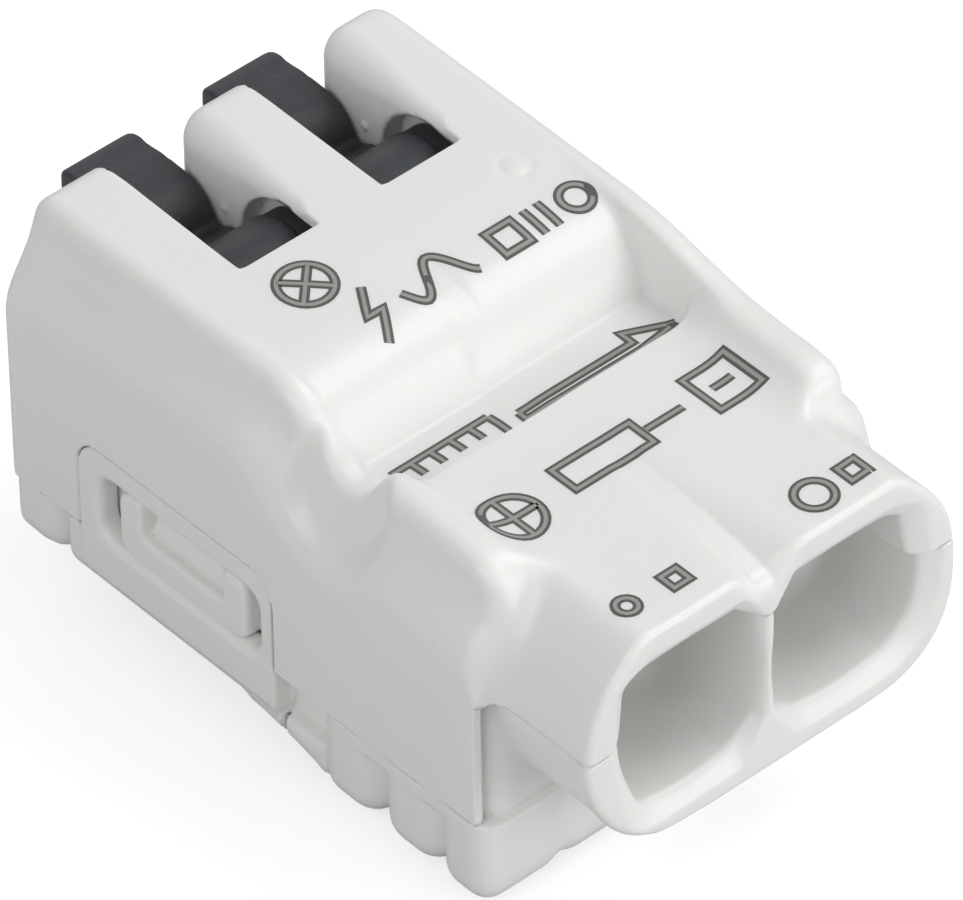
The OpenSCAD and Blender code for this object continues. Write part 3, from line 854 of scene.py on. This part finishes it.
def stroke(line, width, lift):
    """A closed thin box strip that follows the line on the surface."""
    line = np.array(line, float)
    points = [line[0]]
    for a, b in zip(line[:-1], line[1:]):
        pieces = max(1, int(np.linalg.norm(b - a) / 0.18))
        points += [a + (b - a) * (i + 1) / pieces for i in range(pieces)]
    p = np.array(points)
    closed = np.linalg.norm(p[0] - p[-1]) < 1e-6
    if closed:
        p = p[:-1]
        before, after = p - np.roll(p, 1, 0), np.roll(p, -1, 0) - p
    else:
        d = np.diff(p, axis=0)
        before, after = np.vstack([d[:1], d]), np.vstack([d, d[-1:]])
    before = before / np.linalg.norm(before, axis=1)[:, None]
    after = after / np.linalg.norm(after, axis=1)[:, None]
    along = before + after
    along /= np.linalg.norm(along, axis=1)[:, None]
    mitre = np.maximum((along * after).sum(1), 0.6)[:, None]
    normal = np.stack([-along[:, 1], along[:, 0]], 1) / mitre
    a, b = p + normal * width / 2, p - normal * width / 2
    za, zb = top_z(a), top_z(b)
    n = len(p)
    vertices = [(*q, h) for edge, heights in ((a, za + lift), (b, zb + lift),
                                              (b, zb - 0.04), (a, za - 0.04))
                for q, h in zip(edge, heights)]
    faces = []
    for i in range(n if closed else n - 1):
        j = (i + 1) % n
        for k in range(4):
            k2 = (k + 1) % 4
            faces.append((k * n + i, k * n + j, k2 * n + j, k2 * n + i))
    if not closed:
        faces += [(0, n, 2 * n, 3 * n), (n - 1, 4 * n - 1, 3 * n - 1, 2 * n - 1)]
    return vertices, faces


# Lines of (x, y) points.
WAVE = [(x, 11.85 + 0.55 * math.sin((x + 0.35) * math.pi / 0.85))
        for x in np.linspace(-1.2, 0.9, 26)]
MARKS = [
    # a ring with a cross, a flash, a wave and a row of bars on the raised part
    ring(-2.75, 13.55, 0.72), [(-3.25, 13.05), (-2.25, 14.05)],
    [(-3.25, 14.05), (-2.25, 13.05)],
    [(-1.8, 12.62), (-2.35, 11.75), (-1.85, 11.75), (-2.4, 10.9)],
    WAVE,
    rect(1.7, 11.25, 2.5, 12.05), [(2.95, 11.2), (2.95, 12.1)], [(3.4, 11.2), (3.4, 12.1)],
    ring(4.3, 11.65, 0.42),
    # strip length arrow and scale in the groove
    [(-0.6, 8.3), (3.1, 8.3), (3.1, 8.72), (4.35, 8.12)],
    [(4.35, 8.12), (3.1, 7.98), (-0.6, 8.0), (-0.6, 8.3)],
    [(-4.3, 8.75), (-1.2, 8.75)],
    *[[(-4.3 + 0.62 * i, 8.75), (-4.3 + 0.62 * i, 8.2 if i % 5 else 7.98)] for i in range(6)],
    # a stripped wire going into a terminal on the deck
    ring(-3.55, 5.2, 0.78), [(-3.55, 5.98), (-3.55, 4.42)], [(-4.33, 5.2), (-2.77, 5.2)],
    rect(-1.75, 4.95, 0.75, 5.85), [(0.9, 5.4), (2.1, 5.4)],
    rect(2.7, 4.7, 4.05, 6.1), [(3.05, 5.4), (3.7, 5.4)],
    # smallest and largest wire on the nose
    ring(-3.6, 1.15, 0.28, n=16), rect(-2.35, 0.85, -1.85, 1.35),
    ring(2.3, 1.0, 0.5), rect(3.3, 0.75, 3.85, 1.3),
]
# painted shade of the engraved marks: dark strips along the line edges, lighter grey strips
# along the middles
for name, width, lift, painted_shade in (("marking_edges", 0.26, 0.008, ENGRAVING_SHADE_DARK),
                               ("marking_centres", 0.1, 0.013, ENGRAVING_SHADE_LIGHT)):
    marking = join_parts(name, [stroke(line, width, lift) for line in MARKS])
    marking.data.materials.append(painted_shade)
    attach(marking, BODY)


# ------------------------------------------------------------------ floor (metres from here)
def add_floor():
    """A disc just below z = 0 that looks brighter to the camera than it lights."""
    mat = make_material("floor", (0.62, 0.62, 0.62), rough=0.7, bump=0.02, scale=40.0)
    n, level = 40, -0.00002
    vertices = [(0, 0, level)]
    for radius in (0.05, 0.3, 1.2):
        for i in range(n):
            a = 2 * math.pi * i / n
            vertices.append((radius * math.cos(a), radius * math.sin(a), level))
    faces = []
    for i in range(n):
        j = (i + 1) % n
        faces.append((0, 1 + i, 1 + j))
        for a in (1, 1 + n):
            faces.append((a + i, a + n + i, a + n + j, a + j))
    mesh = bpy.data.meshes.new("floor")
    mesh.from_pydata(vertices, [], faces)
    floor = add_object("floor", mesh)
    mesh.materials.append(mat)
    tree = mat.node_tree
    shader = tree.nodes["Principled BSDF"]
    shader.inputs["Emission Color"].default_value = (1, 1, 1, 1)
    path = tree.nodes.new("ShaderNodeLightPath")
    glow = tree.nodes.new("ShaderNodeMath")
    glow.operation = "MULTIPLY"
    glow.inputs[1].default_value = 0.6
    tree.links.new(path.outputs["Is Camera Ray"], glow.inputs[0])
    tree.links.new(glow.outputs[0], shader.inputs["Emission Strength"])


add_floor()

# ------------------------------------------------------------------ light
bpy.context.scene.view_settings.view_transform = "Standard"
world = bpy.data.worlds.new("studio")
bpy.context.scene.world = world
world.use_nodes = True
background = world.node_tree.nodes["Background"]
background.inputs["Color"].default_value = (1.0, 1.0, 1.0, 1)
background.inputs["Strength"].default_value = 0.38


def area_light(name, direction, power, height=0.12):
    """An area light 0.2 m out in the given direction, aimed at the product."""
    light = bpy.data.lights.new(name, "AREA")
    light.shape = "RECTANGLE"
    light.size, light.size_y = 0.12, height
    light.energy = power
    obj = add_object(name, light)
    direction = Vector(direction).normalized()
    obj.location = Vector((0, 0, 0.005)) + direction * 0.2
    obj.rotation_euler = direction.to_track_quat("Z", "Y").to_euler()


area_light("key", direction=(0.75, -0.25, 1.1), power=0.152)
area_light("front", direction=(0.3, -1.0, 0.2), power=0.15)
area_light("left", direction=(-1.0, -0.25, 0.8), power=0.10)
area_light("rim", direction=(0.6, 0.9, 0.5), power=0.03, height=0.06)


# ------------------------------------------------------------------ camera
def add_camera(azimuth, elevation, roll, away, leftward, upward, lens):
    """Angles in radians; offsets in metres from the middle of the mouth plane."""
    right = Vector((math.cos(azimuth), math.sin(azimuth), 0))
    back = Vector((math.sin(azimuth) * math.cos(elevation),
                   -math.cos(azimuth) * math.cos(elevation), math.sin(elevation)))
    up = back.cross(right)
    right, up = (right * math.cos(roll) + up * math.sin(roll),
                 up * math.cos(roll) - right * math.sin(roll))
    anchor = Vector((0, FRONT_Y / 1000, MIDDLE_Z / 1000))
    place = anchor - right * leftward + up * upward + back * away
    data = bpy.data.cameras.new("camera")
    data.sensor_fit = "HORIZONTAL"
    data.sensor_width = 36
    data.lens = lens
    data.clip_start, data.clip_end = 0.01, 10
    camera = add_object("camera", data)
    camera.matrix_world = Matrix((*zip(right, up, back, place), (0, 0, 0, 1)))
    bpy.context.scene.camera = camera


add_camera(azimuth=math.radians(-41.177), elevation=math.radians(42.291),
           roll=math.radians(-0.951), away=0.26685714, leftward=0.00690476, upward=0.005,
           lens=418.990654)
